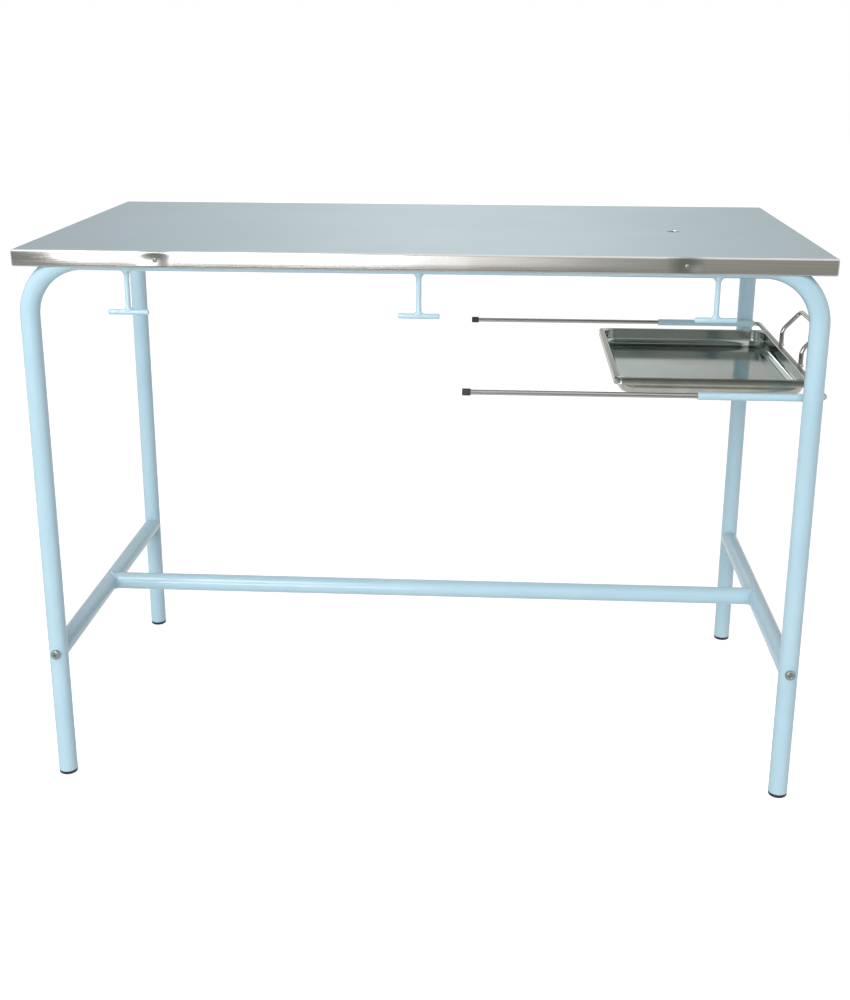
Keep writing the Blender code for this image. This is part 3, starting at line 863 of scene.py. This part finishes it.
def makeSleeves():
    outer = traySleeve["outerRadius"]
    bore = traySleeve["boreRadius"]
    edge = traySleeve["edge"]
    half = (sleeveHigh.x - sleeveLow.x) / 2
    profile = [(outer, -half + edge), (outer - edge, -half), (bore + edge, -half),
               (bore, -half + edge), (bore, half - edge), (bore + edge, half),
               (outer - edge, half), (outer, half - edge)]
    mesh = meshOf("traySleeve", *turned(profile, 40, joinEnds=True))
    middle = (sleeveLow.x + sleeveHigh.x) / 2
    for side, sign in sideSigns.items():
        addPiece(f"{side}TraySleeve", mesh, enamel, "table", f"{side}_tray_sleeve",
                 (middle, sign * slideY, slideZ), (0, quarterTurn, 0))
        # a short fillet above and below, in the corner between the sleeve and the leg
        seatY = sign * (legY - tubeRadius)
        for word, up in (("Upper", 1), ("Lower", -1)):
            points = []
            for step in range(13):
                x = (step / 12 - 0.5) * traySleeve["weldLength"]
                inward = x * x / 2 / tubeRadius - traySleeve["weldSink"]
                points.append((middleX + legX + x, seatY + sign * inward,
                               slideZ + up * traySleeve["weldRise"]))
            addBead(f"{side}{word}SleeveWeld", points, traySleeve["weldRadius"])


makeSleeves()
print("painted frame made")

# drain spigot under the sheet, with hose barbs

spigot = {
    "flangeRadius": 0.0225,
    "flangeThickness": 0.002,
    "flangeEdge": 0.0004,
    "outerRadius": 0.012,
    "boreRadius": 0.010,
    "length": 0.040,
    "barbHeight": 0.0012,
    "barbEdge": 0.0003,
    "barbPitch": 0.008,
    "barbGap": 0.0001,
}


def makeSpigot():
    low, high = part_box("drain_spigot")
    flange = spigot["flangeRadius"]
    thickness = spigot["flangeThickness"]
    edge = spigot["flangeEdge"]
    outer = spigot["outerRadius"]
    bore = spigot["boreRadius"]
    pitch = spigot["barbPitch"]
    profile = [(bore, 0), (flange - edge, 0), (flange, -edge), (flange, edge - thickness),
               (flange - edge, -thickness), (outer, -thickness)]
    for index in range(int((spigot["length"] - thickness) / pitch) - 1, 0, -1):
        top = -spigot["length"] + index * pitch
        profile += [(outer, top), (outer + spigot["barbHeight"], top - spigot["barbEdge"]),
                    (outer, top - pitch + spigot["barbGap"])]
    profile.append((bore, -spigot["length"]))
    addPiece("drainSpigot", turned(profile, 56, joinEnds=True), zincPlate, "table",
             "drain_spigot", ((low.x + high.x) / 2, 0, high.z))


makeSpigot()

# hidden pieces keep their solids
for end in endSigns:
    paintNode(f"{end}_top_stiffener", satinSheet)
    for side in sideSigns:
        paintNode(f"{side}_{end}_stretcher_insert", zincPlate)

# sliding tray: rod, caps, tray and handle

trayRod = {
    "radius": 0.004,
    "cornerRadius": 0.010,
    "edge": 0.0006,
}
rodLow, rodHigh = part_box("tray_rod")
crossX = rodHigh.x - trayRod["radius"]
tipX = rodLow.x


def makeRod():
    corners = ((tipX, -slideY, slideZ), (crossX, -slideY, slideZ),
               (crossX, slideY, slideZ), (tipX, slideY, slideZ))
    path, radii = bentTwice(corners, trayRod["cornerRadius"], 16, trayRod["radius"],
                            trayRod["edge"], (1, 0, 0))
    addPiece("trayRod", tubeAlong(path, radii, 36), chrome, "tray_carriage",
             "tray_rod")


rodCap = {
    "radius": 0.0055,
    "length": 0.013,
    "endWall": 0.002,
    "edge": 0.0012,
    "boreGap": 0.0003,
    # cut into the radius and distance from the mouth, along the groove and the mouth's edge
    "mouthRows": ((0, 0.0018), (0.0003, 0.0015), (0.0003, 0.0011), (0, 0.0008), (0, 0.0003),
                  (0.0003, 0)),
}


def makeCaps():
    edge = rodCap["edge"]
    radius = rodCap["radius"]
    bore = trayRod["radius"] + rodCap["boreGap"]
    mouth = rodCap["length"] - rodCap["endWall"]
    # from the closed end to the mouth, then into the blind bore
    profile = [(radius - edge + edge * math.sin(a), -rodCap["endWall"] + edge * (1 - math.cos(a)))
               for a in quarterAngles(6)]
    profile += [(radius - cut, mouth - back) for cut, back in rodCap["mouthRows"]]
    profile += [(bore, mouth), (bore, 0)]
    mesh = meshOf("rodCap", *turned(profile, 40))
    for side, sign in sideSigns.items():
        addPiece(f"{side}RodCap", mesh, capRubber, "tray_carriage", f"{side}_rod_cap",
                 (tipX - tableFrame["touchGap"], sign * slideY, slideZ),
                 (0, quarterTurn, 0))


tray = {
    "length": 0.306,
    "width": 0.400,
    "depth": 0.028,
    "thickness": 0.001,
    "flange": 0.0085,
    "lip": 0.011,
    "wallCorner": 0.025,
    "rimCorner": 0.012,
    "floorFillet": 0.013,
    "topBend": 0.0015,
    # height above the lip's end and reach beyond the flange, down the bead
    "beadRows": ((0.0024, 0), (0.0017, 0.0005), (0.0009, 0.0008), (0.0002, 0.0006), (0, 0.0002)),
    "floorToneTo": 0.0001,        # heights above the floor where the floor's tone ends and the painted brighter wall starts
    "paintedBrightFrom": 0.0025,
    "paintedDarkTo": 0.0010,     # depths under the flange where its painted dark flat ends and the haze is all
    "hazyBelow": 0.0075,
}


def rectangleRing(halfX, halfY, radius, height, steps=12):
    ring = []
    for turn, (signX, signY) in enumerate(((1, 1), (-1, 1), (-1, -1), (1, -1))):
        for step in range(steps + 1):
            angle = (turn + step / steps) * quarterTurn
            ring.append((signX * (halfX - radius) + radius * math.cos(angle),
                         signY * (halfY - radius) + radius * math.sin(angle), height))
    return ring


def makeTray():
    low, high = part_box("tray")
    flange = tray["flange"]
    halfX = tray["length"] / 2 - flange
    halfY = tray["width"] / 2 - flange
    corner = tray["wallCorner"]
    rimCorner = tray["rimCorner"]
    fillet = tray["floorFillet"]
    bend = tray["topBend"]

    def ringAt(out, radius, height):
        return rectangleRing(halfX + out, halfY + out, radius, height)

    rings = []
    for angle in quarterAngles(8):
        inset = fillet * (1 - math.sin(angle))
        rings.append(ringAt(-inset, corner - inset, fillet * (1 - math.cos(angle)) - tray["depth"]))
    for angle in quarterAngles(5):
        rings.append(ringAt(bend * (1 - math.cos(angle)), corner, bend * (math.sin(angle) - 1)))
    rings.append(ringAt(flange - bend, rimCorner - bend / 2, 0))
    # the outer edge folds down on three sides, and on the rod's side it stays flat
    limit = tray["length"] / 2 - rimCorner + 0.0001
    for angle in quarterAngles(5)[1:]:
        out = flange - bend + bend * math.sin(angle)
        ring = ringAt(out, rimCorner, -bend * (1 - math.cos(angle)))
        rings.append([(x, y, z if x < limit else 0) for x, y, z in ring])
    vertices, faces = skin(rings, caps=False)
    count = len(rings[0])
    faces.append(tuple(range(count)))
    # the lip hangs straight down and ends in a small outward bead
    start = (len(rings) - 1) * count
    for up, out in tray["beadRows"]:
        base = len(vertices)
        vertices += ringAt(flange + out, rimCorner + out, up - tray["lip"])
        for index in range(count):
            after = (index + 1) % count
            if rings[-1][index][0] < limit and rings[-1][after][0] < limit:
                faces.append((start + index, start + after, base + after, base + index))
        start = base
    mesh, bm = openMesh("tray", vertices, faces)
    loose = [vert for vert in bm.verts if not vert.link_faces]
    bmesh.ops.delete(bm, geom=loose, context="VERTS")
    faceUp(bm)
    for face in bm.faces:
        middle = face.calc_center_median()
        if abs(middle.x) > halfX + bend or abs(middle.y) > halfY + bend:
            face.material_index = 1
    bm.to_mesh(mesh)
    bm.free()
    mirrorTray = makeMirrorTray()
    mesh.materials.append(mirrorTray)
    mesh.materials.append(makeRolledRim())
    smoothen(mesh, 40)
    piece = addPiece("instrumentTray", mesh, mirrorTray, "tray_carriage", "tray",
                     ((low.x + high.x) / 2, 0, high.z))
    thicken(piece, tray["thickness"], 1)
    flattenFacets(piece, 80)


handle = {
    "wireRadius": 0.0039,
    "span": 0.166,
    "footOffset": 0.003,
    "seatLift": 0.0015,
    "rise": 0.029,
    "leanRun": 0.030,
    "leanRise": 0.0325,
    "kneeRadius": 0.020,
    "cornerRadius": 0.009,
    # brazed collars where the wire stands on the rod: reach beyond the wire, and height
    "brazeRows": ((-0.00039, 0.0062), (0.0004, 0.0060), (0.0009, 0.0050), (0.0014, 0.0036),
                  (0.0016, 0.0022), (0.0010, 0.0010)),
}


def makeHandle():
    wire = handle["wireRadius"]
    footX = crossX + handle["footOffset"]
    barX = footX + handle["leanRun"]
    y = handle["span"] / 2
    seatZ = slideZ + handle["seatLift"]
    kneeZ = slideZ + handle["rise"]
    barZ = kneeZ + handle["leanRise"]
    corners = ((footX, -y, seatZ), (footX, -y, kneeZ), (barX, -y, barZ),
               (barX, y, barZ), (footX, y, kneeZ), (footX, y, seatZ))
    knee = handle["kneeRadius"]
    corner = handle["cornerRadius"]
    path = roundedPath(corners, (knee, corner, corner, knee), 12)
    addPiece("trayHandle", tubeAlong(path, wire, 32), chrome, "tray_carriage",
             "tray_handle")
    profile = [(wire + out, height) for out, height in handle["brazeRows"]]
    for side, sign in sideSigns.items():
        addPiece(f"{side}HandleBraze", turned(profile, 32), chrome, "tray_carriage",
                 None, (footX, sign * y, slideZ))


makeRod()
makeCaps()
makeTray()
makeHandle()
print("sliding tray made")


# floor, light and camera

studio = {
    "floorSize": 30.0,
    "floorColour": "#dddddd",
    "floorLift": 0.74,
    "floorLiftInMetal": 0.30,
    "worldForLight": 0.42,
}

# cards outside the view, seen only in reflections. A card's colour runs along X through its stops,
# which are metres from its middle, and fades to a plain one between two heights on the card.
cards = {
    # the dim side of the room behind the camera, which the polished rim reflects
    "roomWall": {
        "place": (0, -4.3, 1.35),
        "size": (9.0, 2.5),
        "turn": quarterTurn,
        "stops": ((-2.30, "#787979"), (-1.88, "#808181"), (-1.81, "#c8c8c8"), (-1.74, "#eeeeee"),
                  (-0.14, "#ffffff"), (0.02, "#fbf7f3"), (0.155, "#eeeee8"), (0.33, "#d6d7d4"),
                  (0.50, "#babbb8"), (0.67, "#aaaca7"), (0.84, "#9fa19c"), (1.55, "#98988f")),
        "fade": ("#bcbcb8", -0.65, 0.05),
    },
    # behind the table: it shades the sheet from end to end
    "rearCard": {
        "place": (0, 4.0, 1.9),
        "size": (12.0, 4.0),
        "turn": quarterTurn,
        "stops": ((-2.60, "#bdbbbe"), (-1.75, "#cdcbcd"), (-1.05, "#e5e5e5"), (-0.36, "#ffffff"),
                  (0.34, "#f8f9f8"), (1.04, "#dbdbda"), (1.45, "#d0cecb"), (2.60, "#c2c2be")),
        "fade": ("#d4dad6", 0.9, 1.9),
    },
    # a grey cloth on the floor in front of the view, and a white one behind the table
    "frontCloth": {
        "place": (0, -3.45, 0.003),
        "size": (7.0, 4.5),
        "stops": ((-3.0, "#9a9a98"), (3.0, "#94958d")),
    },
    "rearCloth": {
        "place": (0, 2.1, 0.003),
        "size": (8.0, 3.8),
        "stops": ((0, "#f4f4f4"),),
    },
}

# A softbox has a size in metres, and its level is how bright its face is, where 1 is white.
# In a reflection its light adds to the card behind it. The key light is large and far away,
# as even on the rear legs as on the front ones: its spread is in degrees, and its level is
# how bright it makes a white face turned towards it.
lamps = {
    "windowSoftbox": {"place": (-1.07, -4.1, 0.74), "target": (-1.07, 0, 0.74),
                      "size": (1.48, 1.12), "level": 5.0},
    "curtainSoftbox": {"place": (-0.19, -4.1, 0.65), "target": (-0.19, 0, 0.65),
                       "size": (0.28, 1.12), "level": 0.25},
    "keyLight": {"place": (0, 0, 0), "target": (0.20, 1, -0.30), "spread": 36, "level": 0.29},
    "ceilingSoftbox": {"place": (-1.1, -1.8, 2.5), "target": (0, 0, 0.3),
                       "size": (1.4, 0.8), "level": 6.0},
}


def makeFloor():
    size = studio["floorSize"]
    mesh = meshFrom(flatGrid(size, size), "studioFloor")
    floor = addObject("studioFloor", mesh)
    material, add, surface, place = startMaterial("paintedPlywoodWhite", {
        "Base Color": toLinear(studio["floorColour"]),
        "Roughness": 0.9,
        "Specular IOR Level": 0.0,
        "Emission Color": (1, 1, 1, 1),
    })
    # what the camera sees of the floor is lifted to white, what the metal sees is lifted less,
    # and the shadow stays
    path = add("LightPath")
    seen = add("Math", {"operation": "MAXIMUM"},
               {0: path.outputs["Is Glossy Ray"], 1: path.outputs["Is Transmission Ray"]})
    inMetal = add("Math", {"operation": "MULTIPLY", 1: studio["floorLiftInMetal"]}, {0: seen})
    add("Math", {"operation": "MULTIPLY_ADD", 1: studio["floorLift"]},
        {0: path.outputs["Is Camera Ray"], 2: inMetal}, {0: surface["Emission Strength"]})
    mesh.materials.append(material)


def makeWorld():
    world = bpy.data.worlds.new("studioWorld")
    bpy.context.scene.world = world
    world.use_nodes = True
    world.node_tree.nodes.clear()
    add = partial(addNode, world.node_tree)
    path = add("LightPath")
    seen = add("Math", {"operation": "MAXIMUM"},
               {0: path.outputs["Is Camera Ray"], 1: path.outputs["Is Glossy Ray"]})
    seenToo = add("Math", {"operation": "MAXIMUM"},
                  {0: seen, 1: path.outputs["Is Transmission Ray"]})
    level = add("MapRange", {"To Min": studio["worldForLight"], "To Max": 1.0}, {"Value": seenToo})
    sky = add("Background", {"Color": (1, 1, 1, 1)}, {"Strength": level})
    add("OutputWorld", links={"Surface": sky})


def addCard(name, place, size, stops, turn=0, fade=None):
    width, height = size
    mesh = meshFrom(flatGrid(width, height), name)
    card = addObject(name, mesh)
    card.location = place
    card.rotation_euler = (turn, 0, 0)
    for ray in ("camera", "diffuse", "shadow", "transmission"):
        setattr(card, f"visible_{ray}", False)
    material, add, surface, spot = startMaterial(f"{name}Paper", {
        "Base Color": (0, 0, 0, 1),
        "Roughness": 1.0,
        "Specular IOR Level": 0.0,
        "Emission Color": toLinear(stops[0][1]),
        "Emission Strength": 1.0,
    })
    if len(stops) > 1:
        axes = add("SeparateXYZ", links={"Vector": spot})
        along = add("MapRange", {"From Min": -width / 2, "From Max": width / 2},
                    {"Value": axes.outputs["X"]})
        ramp = add("ValToRGB", links={"Fac": along},
                   feeds={"Color": surface["Emission Color"]},
                   stops=[(reach / width + 0.5, toLinear(colour)) for reach, colour in stops])
    if fade:
        colour, low, high = fade
        upward = add("MapRange", {"From Min": low, "From Max": high}, {"Value": axes.outputs["Y"]})
        add("Mix", {"data_type": "RGBA", 7: toLinear(colour)},
            {0: upward, 6: ramp}, {2: surface["Emission Color"]})
    mesh.materials.append(material)


def addLamp(name, place, target, level, size=None, spread=0):
    light = bpy.data.lights.new(name, "AREA" if size else "SUN")
    light.energy = level * math.pi
    if size:
        light.shape = "RECTANGLE"
        light.size, light.size_y = size
        light.energy = level * math.pi * size[0] * size[1]
    else:
        light.angle = math.radians(spread)
    lamp = addObject(name, light)
    lamp.location = place
    lamp.rotation_euler = (Vector(target) - Vector(place)).to_track_quat("-Z", "Y").to_euler()
    # the metal would show the far light as a white disc
    lamp.visible_glossy = bool(size)


def makeCamera():
    # read off the photograph: it stands 1.16 m high and looks down 17.5 degrees
    view = {
        "place": (0.1257, -2.2953, 1.1608),     # from the middle of the table
        "yaw": 0.0581,
        "pitch": 0.3054,
        "roll": 0.0032,
        "sensor": 36.0,
        "lens": 49.04,
        "shiftY": -0.0258,
    }
    yaw, pitch, roll = view["yaw"], view["pitch"], view["roll"]
    right = Vector((math.cos(yaw), math.sin(yaw), 0))
    level = math.cos(pitch)
    forward = Vector((-math.sin(yaw) * level, math.cos(yaw) * level, -math.sin(pitch)))
    down = forward.cross(right)
    tiltedRight = right * math.cos(roll) - down * math.sin(roll)
    tiltedDown = right * math.sin(roll) + down * math.cos(roll)
    data = bpy.data.cameras.new("photoCamera")
    data.sensor_width = view["sensor"]
    data.lens = view["lens"]
    data.shift_y = view["shiftY"]
    camera = addObject("photoCamera", data)
    axes = Matrix((tiltedRight, -tiltedDown, -forward)).transposed()
    place = Vector(view["place"]) + Vector((middleX, 0, 0))
    camera.matrix_world = Matrix.Translation(place) @ axes.to_4x4()
    bpy.context.scene.camera = camera


makeFloor()
makeWorld()
for name, card in cards.items():
    addCard(name, **card)
for name, lamp in lamps.items():
    addLamp(name, **lamp)
makeCamera()
bpy.context.scene.view_settings.view_transform = "Standard"
print("studio and camera made")
